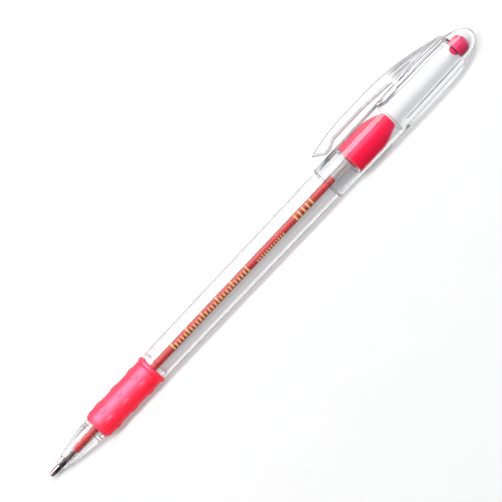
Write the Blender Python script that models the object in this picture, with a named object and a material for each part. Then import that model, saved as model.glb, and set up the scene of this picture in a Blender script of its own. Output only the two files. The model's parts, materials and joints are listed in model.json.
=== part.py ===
"""A clear-barrel ballpoint pen lying on its side, with its clear cap posted on the rear.

Lengths are in metres. The pen lies along X with its ball towards -X, on the floor at Z = 0.
Stations along the pen are measured from the front of the ball. Each piece is drawn about the
pen's axis, with the clip towards +Y, and hangs on one empty that rolls the pen onto its clip.
"""

import math

import bmesh
import bpy
from mathutils import Matrix, Vector

# Fineness of the round shapes
ROUND_SIDES = 36
POINT_SIDES = 20
GRIP_SIDES = 60
ARC_STEPS = 3
CURVE_STEPS = 8
BUMP_STEPS = 6

# Clearances
PRESS_GAP = 0.00005
FACE_GAP = 0.0001
SOCKET_GAP = 0.00004
TUBE_GAP = 0.00015
CAP_GAP = 0.00008
STOP_GAP = 0.0003
HINGE_GAP = 0.0003
PAD_GAP = 0.0003

# Writing point
BALL_DIAMETER = 0.0010
BALL_SHOWN = 0.0003
POINT_LIP_WALL = 0.00012
POINT_CONE_LENGTH = 0.0015
POINT_DIAMETER = 0.0018
POINT_SHOWN = 0.00195
POINT_SHANK_LENGTH = 0.0030
INK_CHANNEL_DIAMETER = 0.0005

# Refill
TUBE_DIAMETER = 0.00235
TUBE_BORE = 0.0016
TUBE_LENGTH = 0.1095
INK_LENGTH = 0.1009

# Nose cone
NOSE_RIM_DIAMETER = 0.0030
NOSE_LIP_DIAMETER = 0.0034
NOSE_LIP_LENGTH = 0.0020
NOSE_SEAT_DEPTH = 0.00275
NOSE_STEP_DIAMETER = 0.0040
NOSE_STEP_LENGTH = 0.0007
NOSE_CONE_DIAMETER = 0.0068
NOSE_CONE_LENGTH = 0.0090
NOSE_NECK_DIAMETER = 0.0065
NOSE_NECK_LENGTH = 0.0014
NOSE_PLUG_LENGTH = 0.0080
NOSE_ROUND = 0.0002

# Barrel
FLANGE_DIAMETER = 0.0070
FLANGE_LENGTH = 0.00095
FLANGE_ROUND = 0.0002
NECK_DIAMETER = 0.0064
NECK_BORE = 0.0048
SHOULDER_DIAMETER = 0.0076
SHOULDER_LENGTH = 0.0011
SHOULDER_ROUND = 0.0003
BARREL_FRONT_DIAMETER = 0.00838
BARREL_REAR_DIAMETER = 0.00916
BARREL_BODY_LENGTH = 0.0757
BARREL_WALL = 0.0005
BORE_TAPER_LENGTH = 0.0006
REAR_WALL = 0.0008
SPIGOT_BORE = 0.0062
SPIGOT_DIAMETER = 0.0072
SPIGOT_LENGTH = 0.0050
SPIGOT_ROUND = 0.0002

# Grip sleeve
GRIP_LENGTH = 0.0221
GRIP_FRONT_DIAMETER = 0.0073
GRIP_DIAMETER = 0.0084
GRIP_FRONT_LENGTH = 0.0013
GRIP_ROUND = 0.0004
GRIP_WAIST_DEPTH = 0.0001
GRIP_GROOVE_DEPTH = 0.0002
GRIP_GROOVE_LENGTH = 0.0004
BEAD_DIAMETER = 0.0091
BEAD_LENGTH = 0.0015
BUMP_DIAMETER = 0.0025
BUMP_HEIGHT = 0.00028
BUMP_PITCH = 0.00625
FIRST_BUMP = 0.0046
BUMPS_IN_ROW = 3
BUMP_ROWS = 6
BUMP_ROW_ANGLE = math.radians(36)

# End plug
PLUG_LENGTH = 0.0153
PLUG_STRAIGHT_LENGTH = 0.0081
PLUG_TIP_DIAMETER = 0.0048
PLUG_CURVE = 1.6
PLUG_ROUND = 0.0003

# Cap
CAP_LENGTH = 0.0568
CAP_MOUTH_DIAMETER = 0.0102
CAP_STOP_DIAMETER = 0.01096
CAP_DIAMETER = 0.0111
CAP_MOUTH_ROUND = 0.00015
CAP_STOP_DEPTH = 0.0246
CAP_BULGE_LENGTH = 0.0075
CAP_END_LENGTH = 0.0167
CAP_END_FULLNESS = 2.2
CAP_END_POWER = 0.45
STOP_LEDGE_WIDTH = 0.0007
DOME_LENGTH = 0.0036
UPPER_BORE_FRONT = 0.0068
UPPER_BORE_REAR = 0.0061

# Cap end plug
CAP_PLUG_DIAMETER = 0.0054
CAP_PLUG_LENGTH = 0.0022
CAP_PLUG_DOME = 0.0020
CAP_PLUG_LEAD = 0.0003
CAP_NUB_DIAMETER = 0.0034
CAP_NUB_LENGTH = 0.0014
CAP_END_WALL = 0.0032

# Pocket clip, along the cap from its mouth and out from the pen's axis
CLIP_WIDTH = 0.0040
CLIP_HEIGHT = 0.00975
CLIP_THICKNESS = 0.00305
CLIP_EDGE = 0.0005
CLIP_TIP_START = 0.0025
CLIP_PAD_START = 0.0054
CLIP_PAD_LENGTH = 0.0018
CLIP_RAMP_LENGTH = 0.0027
CLIP_LAND_START = 0.0161
CLIP_LAND_LENGTH = 0.0075
CLIP_FRONT_RADIUS = 0.058
CLIP_REAR_RADIUS = 0.0777
CLIP_DIP_START = 0.0211
CLIP_DIP = 0.00075
CLIP_HINGE = 0.0317
CLIP_ROOT_LENGTH = 0.0186
CLIP_ROOT_ROUND = 0.0030
CLIP_ROOT_DEPTH = 0.0040

# Stations along the pen, from the front of the ball
POINT_CONE_END = BALL_SHOWN + POINT_CONE_LENGTH
NOSE_FRONT = POINT_CONE_END + POINT_SHOWN
TUBE_FRONT = NOSE_FRONT + NOSE_SEAT_DEPTH
POINT_REAR = TUBE_FRONT + POINT_SHANK_LENGTH
TUBE_REAR = TUBE_FRONT + TUBE_LENGTH
NOSE_CONE_FRONT = NOSE_FRONT + NOSE_LIP_LENGTH + NOSE_STEP_LENGTH
NOSE_CONE_REAR = NOSE_CONE_FRONT + NOSE_CONE_LENGTH
NOSE_SHOULDER = NOSE_CONE_REAR + NOSE_NECK_LENGTH
BARREL_FRONT = NOSE_SHOULDER + FACE_GAP
FLANGE_REAR = BARREL_FRONT + FLANGE_LENGTH
GRIP_FRONT = FLANGE_REAR + FACE_GAP
SHOULDER_FRONT = GRIP_FRONT + GRIP_LENGTH + FACE_GAP
BODY_FRONT = SHOULDER_FRONT + SHOULDER_LENGTH
BODY_REAR = BODY_FRONT + BARREL_BODY_LENGTH
PLUG_FRONT = BODY_REAR + FACE_GAP
PLUG_REAR = PLUG_FRONT + PLUG_LENGTH
CAP_STOP = PLUG_REAR + STOP_GAP
CAP_MOUTH = CAP_STOP - CAP_STOP_DEPTH
CAP_REAR = CAP_MOUTH + CAP_LENGTH
CAP_END_FRONT = CAP_REAR - CAP_END_LENGTH
CAP_PLUG_REAR = CAP_REAR - CAP_END_WALL
CAP_PLUG_FRONT = CAP_PLUG_REAR - CAP_PLUG_DOME - CAP_PLUG_LENGTH
CLIP_LAND = CAP_MOUTH + CLIP_LAND_START
CLIP_LAND_REAR = CLIP_LAND + CLIP_LAND_LENGTH
HINGE_STATION = CAP_MOUTH + CLIP_HINGE
HINGE_HEIGHT = CLIP_HEIGHT - CLIP_THICKNESS / 2


def rounded(corners):
    """The outline through corners (x, r, round), with an arc where round is over zero."""
    outline = []
    for index, (x, r, radius) in enumerate(corners):
        here = Vector((x, r))
        if not radius:
            outline.append(here)
            continue
        before = Vector(corners[index - 1][:2]) - here
        after = Vector(corners[(index + 1) % len(corners)][:2]) - here
        half = before.angle(after) / 2
        reach = radius / math.tan(half)
        start, end = (here + side.normalized() * reach for side in (before, after))
        centre = here + (before.normalized() + after.normalized()).normalized() * radius / math.sin(half)
        first, last = start - centre, end - centre
        sweep = first.angle_signed(last)
        for step in range(ARC_STEPS + 1):
            turn = Matrix.Rotation(-sweep * step / ARC_STEPS, 2)
            outline.append(centre + turn @ first)
    return [tuple(point) for point in outline]


def steps(start, end, count):
    """Evenly spaced values from start to end, both included."""
    return [start + (end - start) * step / count for step in range(count + 1)]


def turned(outline, sides):
    """A mesh made by spinning an outline of (x, r) points round the X axis."""
    work = bmesh.new()
    points = [work.verts.new((x, r, 0)) for x, r in outline]
    on_axis = outline[0][1] == 0
    pairs = zip(points, points[1:] if on_axis else points[1:] + points[:1])
    edges = [work.edges.new(pair) for pair in pairs]
    bmesh.ops.spin(work, geom=points + edges, axis=(1, 0, 0), cent=(0, 0, 0), angle=math.tau,
                   steps=sides, use_merge=True)
    bmesh.ops.remove_doubles(work, verts=work.verts, dist=1e-7)
    return finished(work)


def extruded(outline, width, soft_edges):
    """A mesh of an outline in the XY plane, as wide as given along Z.

    Both long edges that lie along the points of soft_edges are rounded.
    """
    work = bmesh.new()
    face = work.faces.new([work.verts.new((x, y, -width / 2)) for x, y in outline])
    grown = bmesh.ops.extrude_face_region(work, geom=[face])["geom"]
    bmesh.ops.translate(work, vec=(0, 0, width), verts=[v for v in grown if isinstance(v, bmesh.types.BMVert)])
    bmesh.ops.recalc_face_normals(work, faces=work.faces)

    def is_soft(point):
        return any(math.dist(point.co.xy, soft) < 1e-7 for soft in soft_edges)

    edges = [edge for edge in work.edges
             if all(map(is_soft, edge.verts)) and edge.verts[0].co.z == edge.verts[1].co.z]
    bmesh.ops.bevel(work, geom=edges, offset=CLIP_EDGE, segments=3, profile=0.5, affect="EDGES")
    return finished(work)


def finished(work):
    """The mesh of a finished bmesh, with faces outwards and smooth shading between sharp edges."""
    bmesh.ops.recalc_face_normals(work, faces=work.faces)
    mesh = bpy.data.meshes.new("shape")
    work.to_mesh(mesh)
    work.free()
    mesh.shade_smooth()
    mesh.set_sharp_from_angle(angle=math.radians(35))
    return mesh


def material(name, colour, roughness, metallic=0.0, transmission=0.0):
    made = bpy.data.materials.new(name)
    made.use_nodes = True
    shader = made.node_tree.nodes["Principled BSDF"].inputs
    shader["Base Color"].default_value = (*colour, 1)
    shader["Roughness"].default_value = roughness
    shader["Metallic"].default_value = metallic
    shader["Transmission Weight"].default_value = transmission
    return made


def piece(name, mesh, finish, parent, origin=(0, 0, 0)):
    """A named object whose mesh is given along the pen, with its origin moved to where it turns."""
    mesh.name = name
    mesh.transform(Matrix.Translation(-Vector(origin)))
    mesh.materials.append(finish)
    made = bpy.data.objects.new(name, mesh)
    made.location = origin
    made.parent = parent
    bpy.context.collection.objects.link(made)
    return made


def writing_ball():
    radius = BALL_DIAMETER / 2
    turns = steps(0, math.pi, POINT_SIDES // 2)
    middle = [(radius - radius * math.cos(turn), radius * math.sin(turn)) for turn in turns[1:-1]]
    return turned([(0, 0)] + middle + [(BALL_DIAMETER, 0)], POINT_SIDES)


def point_body():
    ball_radius = BALL_DIAMETER / 2
    socket = ball_radius + SOCKET_GAP
    channel = INK_CHANNEL_DIAMETER / 2
    lip_turn = math.acos((ball_radius - BALL_SHOWN) / socket)
    floor_turn = math.pi - math.asin(channel / socket)
    cup = [(ball_radius - socket * math.cos(turn), socket * math.sin(turn))
           for turn in steps(floor_turn, lip_turn, CURVE_STEPS)]
    shank = TUBE_BORE / 2 - PRESS_GAP
    body = POINT_DIAMETER / 2
    return turned(cup + [
        (BALL_SHOWN, cup[-1][1] + POINT_LIP_WALL),
        (POINT_CONE_END, body),
        (TUBE_FRONT - FACE_GAP, body),
        (TUBE_FRONT - FACE_GAP, shank),
        (POINT_REAR, shank),
        (POINT_REAR, channel),
    ], POINT_SIDES)


def refill_tube():
    outer, bore = TUBE_DIAMETER / 2, TUBE_BORE / 2
    return turned(
        [(TUBE_FRONT, bore), (TUBE_FRONT, outer), (TUBE_REAR, outer), (TUBE_REAR, bore)], POINT_SIDES)


def ink_column():
    front = POINT_REAR + FACE_GAP
    radius = TUBE_BORE / 2 - PRESS_GAP
    rear = front + INK_LENGTH
    return turned([(front, 0), (front, radius), (rear, radius), (rear, 0)], POINT_SIDES)


def nose_cone():
    hole = POINT_DIAMETER / 2 + TUBE_GAP
    bore = TUBE_DIAMETER / 2 + TUBE_GAP
    plug = NECK_BORE / 2 - PRESS_GAP
    plug_rear = BARREL_FRONT + NOSE_PLUG_LENGTH
    seat = TUBE_FRONT - FACE_GAP
    return turned(rounded([
        (NOSE_FRONT, hole, 0),
        (NOSE_FRONT, NOSE_RIM_DIAMETER / 2, NOSE_ROUND),
        (NOSE_FRONT + NOSE_LIP_LENGTH, NOSE_LIP_DIAMETER / 2, 0),
        (NOSE_CONE_FRONT, NOSE_STEP_DIAMETER / 2, 0),
        (NOSE_CONE_REAR, NOSE_CONE_DIAMETER / 2, NOSE_ROUND),
        (NOSE_CONE_REAR + NOSE_ROUND, NOSE_NECK_DIAMETER / 2, 0),
        (NOSE_SHOULDER, NOSE_NECK_DIAMETER / 2, NOSE_ROUND),
        (NOSE_SHOULDER, plug, 0),
        (plug_rear, plug, NOSE_ROUND),
        (plug_rear, bore, 0),
        (seat, bore, 0),
        (seat, hole, 0),
    ]), ROUND_SIDES)


def barrel():
    front_bore = BARREL_FRONT_DIAMETER / 2 - BARREL_WALL
    rear_bore = BARREL_REAR_DIAMETER / 2 - BARREL_WALL
    spigot_rear = BODY_REAR + SPIGOT_LENGTH
    return turned(rounded([
        (BARREL_FRONT, NECK_BORE / 2, 0),
        (BARREL_FRONT, FLANGE_DIAMETER / 2, FLANGE_ROUND),
        (FLANGE_REAR, FLANGE_DIAMETER / 2, 0),
        (FLANGE_REAR, NECK_DIAMETER / 2, 0),
        (SHOULDER_FRONT, NECK_DIAMETER / 2, 0),
        (SHOULDER_FRONT, SHOULDER_DIAMETER / 2, 0),
        (BODY_FRONT, BARREL_FRONT_DIAMETER / 2, SHOULDER_ROUND),
        (BODY_REAR, BARREL_REAR_DIAMETER / 2, 0),
        (BODY_REAR, SPIGOT_DIAMETER / 2, 0),
        (spigot_rear, SPIGOT_DIAMETER / 2, SPIGOT_ROUND),
        (spigot_rear, SPIGOT_BORE / 2, 0),
        (BODY_REAR - REAR_WALL, SPIGOT_BORE / 2, 0),
        (BODY_REAR - REAR_WALL, rear_bore, 0),
        (BODY_FRONT + BORE_TAPER_LENGTH, front_bore, 0),
        (BODY_FRONT, NECK_BORE / 2, 0),
    ]), ROUND_SIDES)


def grip_sleeve():
    rear = GRIP_FRONT + GRIP_LENGTH
    inner = NECK_DIAMETER / 2 + PRESS_GAP
    full = GRIP_DIAMETER / 2
    bead = BEAD_DIAMETER / 2
    bead_front = rear - BEAD_LENGTH
    bead_centre = rear - BEAD_LENGTH / 2
    groove = full - GRIP_GROOVE_DEPTH
    bump_radius = BUMP_DIAMETER / 2
    rows = [GRIP_FRONT + FIRST_BUMP + BUMP_PITCH * index for index in range(BUMPS_IN_ROW)]
    waist_middle = (rows[0] + rows[-1]) / 2
    waist_half = waist_middle - GRIP_FRONT - GRIP_FRONT_LENGTH

    def side(x):
        """Radius of the sleeve between its front round and its groove: a slight waist."""
        return full - GRIP_WAIST_DEPTH * max(0, 1 - ((x - waist_middle) / waist_half) ** 2)

    front = rounded([
        (GRIP_FRONT, inner, 0),
        (GRIP_FRONT, GRIP_FRONT_DIAMETER / 2, GRIP_ROUND),
        (GRIP_FRONT + GRIP_FRONT_LENGTH, full, GRIP_ROUND),
        (rows[0] - bump_radius, side(rows[0] - bump_radius), 0),
    ])
    middle = [(x, side(x)) for row in rows for x in steps(row - bump_radius, row + bump_radius, BUMP_STEPS)]
    half_bead = BEAD_LENGTH / 2
    beaded = [(bead_centre - half_bead * math.cos(turn), groove + (bead - groove) * math.sin(turn))
              for turn in steps(0, math.pi, CURVE_STEPS)]
    mesh = turned(
        front[:-1] + middle + [(bead_front - GRIP_GROOVE_LENGTH, full)] + beaded + [(rear, inner)], GRIP_SIDES)

    for vertex in mesh.vertices:
        x, y, z = vertex.co
        radius = math.hypot(y, z)
        if radius < side(x) - PRESS_GAP:
            continue
        row_step = math.tau / BUMP_ROWS
        off_row = (math.atan2(y, z) - BUMP_ROW_ANGLE + row_step / 2) % row_step - row_step / 2
        off_bump = min(math.hypot(x - row, off_row * radius) for row in rows) / bump_radius
        lift = 1 + BUMP_HEIGHT * max(0, 1 - off_bump**4) / radius
        vertex.co = (x, y * lift, z * lift)
    return mesh


def end_plug():
    base, tip = BARREL_REAR_DIAMETER / 2, PLUG_TIP_DIAMETER / 2
    socket = SPIGOT_DIAMETER / 2 + PRESS_GAP
    floor = BODY_REAR + SPIGOT_LENGTH + STOP_GAP
    tube_room = TUBE_DIAMETER / 2 + TUBE_GAP
    tube_floor = max(floor, TUBE_REAR + STOP_GAP)
    curve_length = PLUG_LENGTH - PLUG_STRAIGHT_LENGTH
    curve = [(PLUG_FRONT + PLUG_STRAIGHT_LENGTH + curve_length * t, base - (base - tip) * t**PLUG_CURVE, 0)
             for t in steps(0, 1, CURVE_STEPS)]
    return turned(rounded([
        (tube_floor, 0, 0),
        (tube_floor, tube_room, 0),
        (floor, tube_room, 0),
        (floor, socket, 0),
        (PLUG_FRONT, socket, 0),
        (PLUG_FRONT, base, PLUG_ROUND),
        *curve[:-1],
        (*curve[-1][:2], PLUG_ROUND),
        (PLUG_REAR, 0, 0),
    ]), ROUND_SIDES)


def cap_radius(x):
    """Outer radius of the cap at a station: two straight tapers, a straight stretch and a round end."""
    bulge_end = CAP_STOP + CAP_BULGE_LENGTH
    if x <= CAP_STOP:
        share = (x - CAP_MOUTH) / CAP_STOP_DEPTH
        return (CAP_MOUTH_DIAMETER + (CAP_STOP_DIAMETER - CAP_MOUTH_DIAMETER) * share) / 2
    if x <= bulge_end:
        share = (x - CAP_STOP) / CAP_BULGE_LENGTH
        return (CAP_STOP_DIAMETER + (CAP_DIAMETER - CAP_STOP_DIAMETER) * share) / 2
    share = max(0, x - CAP_END_FRONT) / CAP_END_LENGTH
    return CAP_DIAMETER / 2 * max(0, 1 - share**CAP_END_FULLNESS) ** CAP_END_POWER


def cap_shell_turned():
    bore = BARREL_REAR_DIAMETER / 2 + CAP_GAP
    ledge = bore - STOP_LEDGE_WIDTH
    front, rear = UPPER_BORE_FRONT / 2, UPPER_BORE_REAR / 2
    pocket = CAP_PLUG_DIAMETER / 2 + PRESS_GAP
    dome_top = CAP_PLUG_REAR + FACE_GAP
    pocket_front = CAP_PLUG_FRONT - CAP_PLUG_LEAD
    dome = [(CAP_STOP + DOME_LENGTH * math.sin(turn), front + (ledge - front) * math.cos(turn), 0)
            for turn in steps(0, math.pi / 2, ARC_STEPS)]
    blind = [(dome_top - CAP_PLUG_DOME * (1 - math.sin(turn)), pocket * math.cos(turn), 0)
             for turn in steps(0, math.pi / 2, CURVE_STEPS)]
    round_end = [(CAP_REAR - CAP_END_LENGTH * (1 - math.sin(turn)), 0) for turn in
                 steps(0, math.pi / 2, 2 * CURVE_STEPS)]
    outer = [(x, cap_radius(x), 0) for x, _ in reversed(round_end)]
    inner = [(CAP_MOUTH, bore, 0), (CAP_STOP, bore, 0), *dome]
    return turned(rounded([
        (CAP_REAR, 0, 0),
        *outer[1:],
        (CAP_STOP + CAP_BULGE_LENGTH, CAP_DIAMETER / 2, 0),
        (CAP_STOP, CAP_STOP_DIAMETER / 2, 0),
        (CAP_MOUTH, CAP_MOUTH_DIAMETER / 2, CAP_MOUTH_ROUND),
        *inner,
        (pocket_front, rear, 0),
        (CAP_PLUG_FRONT, pocket, 0),
        *blind[:-1],
        (dome_top, 0, 0),
    ]), ROUND_SIDES)


def clip_top(x):
    """Height of the clip's outer line above the pen's axis: an arc, a flat land and a longer arc."""
    radius = CLIP_FRONT_RADIUS if x < CLIP_LAND else CLIP_REAR_RADIUS
    off_land = max(CLIP_LAND - x, 0, x - CLIP_LAND_REAR)
    return CLIP_HEIGHT - radius + math.sqrt(radius**2 - off_land**2)


def pocket_clip():
    tip = CAP_MOUTH + CLIP_TIP_START
    end = HINGE_STATION - HINGE_GAP / 2
    pad_front = CAP_MOUTH + CLIP_PAD_START
    pad_rear = pad_front + CLIP_PAD_LENGTH
    pad = cap_radius(pad_rear) + PAD_GAP
    under = CLIP_HEIGHT - CLIP_THICKNESS
    line = steps(tip, CLIP_LAND, CURVE_STEPS) + steps(CLIP_LAND_REAR, end, ARC_STEPS)
    top = [(x, clip_top(x)) for x in line]
    bottom = [
        (end, under - CLIP_DIP),
        (CAP_MOUTH + CLIP_DIP_START, under),
        (pad_rear + CLIP_RAMP_LENGTH, under),
        (pad_rear, pad),
        (pad_front, pad),
    ]
    return extruded(top + bottom, CLIP_WIDTH, top)


def clip_root():
    """The stub of the clip on the cap, which the cap shell takes in."""
    front = HINGE_STATION + HINGE_GAP / 2
    rear = HINGE_STATION + CLIP_ROOT_LENGTH
    crown = rear - CLIP_ROOT_ROUND
    drop = clip_top(crown) - CLIP_ROOT_DEPTH
    line = [(x, clip_top(x)) for x in steps(front, crown, CURVE_STEPS)]
    heel = [(crown + CLIP_ROOT_ROUND * math.sin(turn), CLIP_ROOT_DEPTH + drop * math.cos(turn))
            for turn in steps(0, math.pi / 2, CURVE_STEPS)]
    top = line + heel[1:]
    return extruded(top + [(front, CLIP_ROOT_DEPTH)], CLIP_WIDTH, top)


def cap_end_plug():
    body, nub = CAP_PLUG_DIAMETER / 2, CAP_NUB_DIAMETER / 2
    turns = steps(0, math.pi / 2, CURVE_STEPS)
    dome = [(CAP_PLUG_REAR - CAP_PLUG_DOME * (1 - math.sin(turn)), body * math.cos(turn)) for turn in turns]
    nub_end = [(CAP_PLUG_FRONT - CAP_NUB_LENGTH * math.cos(turn), nub * math.sin(turn)) for turn in turns]
    return turned(
        [(nub_end[0][0], 0)] + nub_end[1:] + [(CAP_PLUG_FRONT, body)] + dome[:-1] + [(CAP_PLUG_REAR, 0)],
        ROUND_SIDES)


def lying_roll():
    """How far the pen rolls until the clip's rounded corner is as low as the cap."""
    across, out = CLIP_WIDTH / 2 - CLIP_EDGE, CLIP_HEIGHT - CLIP_EDGE
    return math.asin((CAP_DIAMETER / 2 - CLIP_EDGE) / math.hypot(across, out)) - math.atan2(across, out)


def set_on_floor(carrier, pieces):
    """Moves the carrier so that the middle of the pieces' bottom lies on the origin."""
    bpy.context.view_layer.update()
    corners = [made.matrix_world @ vertex.co for made in pieces for vertex in made.data.vertices]
    low = Vector(map(min, zip(*corners)))
    high = Vector(map(max, zip(*corners)))
    carrier.location -= Vector(((low.x + high.x) / 2, (low.y + high.y) / 2, low.z))


def main():
    for old in list(bpy.data.objects):
        bpy.data.objects.remove(old)

    clear = material("clear_plastic", (0.93, 0.92, 0.94), 0.05, transmission=0.9)
    pink_rubber = material("pink_rubber", (0.93, 0.10, 0.22), 0.45)
    pink_plastic = material("pink_plastic", (0.93, 0.07, 0.18), 0.2)
    tube_plastic = material("tube_plastic", (0.90, 0.80, 0.80), 0.25, transmission=0.6)
    red_ink = material("red_ink", (0.58, 0.02, 0.03), 0.2)
    point_metal = material("point_metal", (0.55, 0.53, 0.50), 0.25, metallic=1.0)
    ball_metal = material("ball_metal", (0.35, 0.35, 0.36), 0.15, metallic=1.0)

    carrier = bpy.data.objects.new("pen_axis", None)
    bpy.context.collection.objects.link(carrier)
    carrier.rotation_euler.x = -lying_roll()

    cap_shell = piece("cap_shell", cap_shell_turned(), clear, carrier)
    root = piece("clip_root", clip_root(), clear, carrier)
    root.hide_render = True
    root.display_type = "WIRE"
    union = cap_shell.modifiers.new("clip_root", "BOOLEAN")
    union.operation = "UNION"
    union.object = root

    set_on_floor(carrier, [
        piece("writing_ball", writing_ball(), ball_metal, carrier, (BALL_DIAMETER / 2, 0, 0)),
        piece("point_body", point_body(), point_metal, carrier),
        piece("refill_tube", refill_tube(), tube_plastic, carrier),
        piece("ink_column", ink_column(), red_ink, carrier),
        piece("nose_cone", nose_cone(), clear, carrier),
        piece("barrel", barrel(), clear, carrier),
        piece("grip_sleeve", grip_sleeve(), pink_rubber, carrier),
        piece("end_plug", end_plug(), pink_plastic, carrier),
        piece("pocket_clip", pocket_clip(), clear, carrier, (HINGE_STATION, HINGE_HEIGHT, 0)),
        piece("cap_end_plug", cap_end_plug(), pink_plastic, carrier),
        cap_shell,
    ])


main()
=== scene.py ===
"""Looks for the clear-barrel ballpoint pen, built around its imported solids.

Shapes are drawn along the pen, in metres: x from the front of the ball, y towards the clip and
z towards the viewer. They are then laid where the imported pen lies.
"""

import json
import math

import bmesh
import bpy
from mathutils import Matrix, Vector


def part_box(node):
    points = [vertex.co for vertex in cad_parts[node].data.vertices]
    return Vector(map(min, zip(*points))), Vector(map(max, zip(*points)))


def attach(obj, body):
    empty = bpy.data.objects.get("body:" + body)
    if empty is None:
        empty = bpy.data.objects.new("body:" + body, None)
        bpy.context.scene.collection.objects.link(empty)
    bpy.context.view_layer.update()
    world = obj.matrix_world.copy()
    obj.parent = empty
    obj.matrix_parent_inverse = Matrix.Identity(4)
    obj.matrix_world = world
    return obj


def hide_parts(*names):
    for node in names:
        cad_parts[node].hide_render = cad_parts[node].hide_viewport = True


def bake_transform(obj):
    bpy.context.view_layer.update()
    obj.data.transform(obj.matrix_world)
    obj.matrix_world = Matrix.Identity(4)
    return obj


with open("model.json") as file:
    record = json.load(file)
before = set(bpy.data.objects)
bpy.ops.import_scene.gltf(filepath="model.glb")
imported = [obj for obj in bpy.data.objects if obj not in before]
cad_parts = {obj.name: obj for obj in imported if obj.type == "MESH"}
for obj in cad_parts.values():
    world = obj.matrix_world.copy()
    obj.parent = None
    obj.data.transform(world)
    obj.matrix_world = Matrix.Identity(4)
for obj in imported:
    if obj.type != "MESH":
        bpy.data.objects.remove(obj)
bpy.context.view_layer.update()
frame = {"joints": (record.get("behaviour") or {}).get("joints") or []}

MM = 0.001

# Fineness of the round shapes
SIDES = 144
SMALL_SIDES = 96
ARC_STEPS = 6
CURVE_STEPS = 24
SHARP_ANGLE = math.radians(35)
TURNED_MERGE = 0.0001 * MM
JOINED_MERGE = 0.0002 * MM

# Roundings and gaps that several pieces share
EDGE_ROUND = 0.1 * MM
FINE_ROUND = 0.05 * MM
JOINT_GAP = 0.1 * MM
PRESS_GAP = 0.05 * MM

# Marks on the clear meshes: painted shade that greys their edges and lines, and how freely lamps pass their
# faces
PAINTED_SHADE = "rim"
PASS = "pass"
PASS_MIDDLE = 0.5
PASS_SPREAD = 3.0

# The pen's own axes: the clip's joint turns about the line that points away from the viewer
joints = {joint["name"]: joint for joint in frame["joints"]}
TOWARDS_VIEWER = -Vector(joints["clip_flex"]["axis"]).normalized()
ALONG = Vector((1, 0, 0))
TOWARDS_CLIP = TOWARDS_VIEWER.cross(ALONG)
axis_point = Vector(joints["cap_turn"]["pos_m"])
tip_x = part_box("writing_ball")[0].x
TIP = Vector((tip_x, axis_point.y, axis_point.z))
PEN = Matrix((ALONG, TOWARDS_CLIP, TOWARDS_VIEWER)).transposed().to_4x4()
PEN.translation = TIP


def span(node):
    """Where a node starts and ends along the pen."""
    low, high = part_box(node)
    return low.x - tip_x, high.x - tip_x


POINT_FRONT, POINT_REAR = span("point_body")
TUBE_FRONT, TUBE_REAR = span("refill_tube")
INK_FRONT, INK_REAR = span("ink_column")
NOSE_FRONT, NOSE_REAR = span("nose_cone")
BARREL_FRONT, BARREL_REAR = span("barrel")
GRIP_FRONT, GRIP_REAR = span("grip_sleeve")
PLUG_FRONT, PLUG_REAR = span("end_plug")
CAP_MOUTH, CAP_REAR = span("cap_shell")
CAP_PLUG_FRONT, CAP_PLUG_REAR = span("cap_end_plug")
CLIP_TIP, CLIP_END = span("pocket_clip")
HINGE = joints["clip_flex"]["pos_m"][0] - tip_x


def rounded(corners):
    """The outline through corners (x, r, round), with an arc where round is over zero."""
    outline = []
    for index, (x, r, radius) in enumerate(corners):
        here = Vector((x, r))
        if not radius:
            outline.append(here)
            continue
        before = Vector(corners[index - 1][:2]) - here
        after = Vector(corners[(index + 1) % len(corners)][:2]) - here
        half = before.angle(after) / 2
        reach = radius / math.tan(half)
        start, end = (here + side.normalized() * reach for side in (before, after))
        inwards = (before.normalized() + after.normalized()).normalized()
        centre = here + inwards * radius / math.sin(half)
        first, last = start - centre, end - centre
        sweep = first.angle_signed(last)
        for step in range(ARC_STEPS + 1):
            turn = Matrix.Rotation(-sweep * step / ARC_STEPS, 2)
            outline.append(centre + turn @ first)
    return [tuple(point) for point in outline]


def steps(start, end, count):
    """Evenly spaced values from start to end, both included."""
    return [start + (end - start) * step / count for step in range(count + 1)]


def finished(work):
    """The mesh that was worked on, smooth but for its sharp edges."""
    bmesh.ops.recalc_face_normals(work, faces=work.faces)
    mesh = bpy.data.meshes.new("shape")
    work.to_mesh(mesh)
    work.free()
    mesh.shade_smooth()
    mesh.set_sharp_from_angle(angle=SHARP_ANGLE)
    return mesh


def turned(outline, sides=SIDES):
    """A mesh made by spinning an outline of (x, r) points round the pen's axis."""
    work = bmesh.new()
    points = [work.verts.new((x, r, 0)) for x, r in outline]
    on_axis = outline[0][1] == 0
    pairs = zip(points, points[1:] if on_axis else points[1:] + points[:1])
    edges = [work.edges.new(pair) for pair in pairs]
    bmesh.ops.spin(work, geom=points + edges, axis=(1, 0, 0), cent=(0, 0, 0), angle=math.tau,
                   steps=sides, use_merge=True)
    bmesh.ops.remove_doubles(work, verts=work.verts, dist=TURNED_MERGE)
    return finished(work)


def marked(mesh, start=-math.inf):
    """Marks how freely lamps pass each face: less on outer ones behind start, away from the clip."""
    marks = mesh.attributes.new(PASS, "FLOAT", "FACE")
    for face, mark in zip(mesh.polygons, marks.data):
        place = face.center.yz
        outwards = face.center.x > start and face.normal.yz.dot(place) > 0
        passing = PASS_MIDDLE + PASS_SPREAD * place.x / place.length if outwards else 1
        mark.value = min(1, max(0, passing))
    return mesh


def lofted(sections):
    """A closed mesh through rings of points, capped at both ends."""
    work = bmesh.new()
    rings = [[work.verts.new(point) for point in section] for section in sections]
    for ring, after in zip(rings, rings[1:]):
        for index in range(len(ring)):
            follow = (index + 1) % len(ring)
            work.faces.new((ring[index], ring[follow], after[follow], after[index]))
    work.faces.new(rings[0])
    work.faces.new(rings[-1])
    return finished(work)


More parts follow.
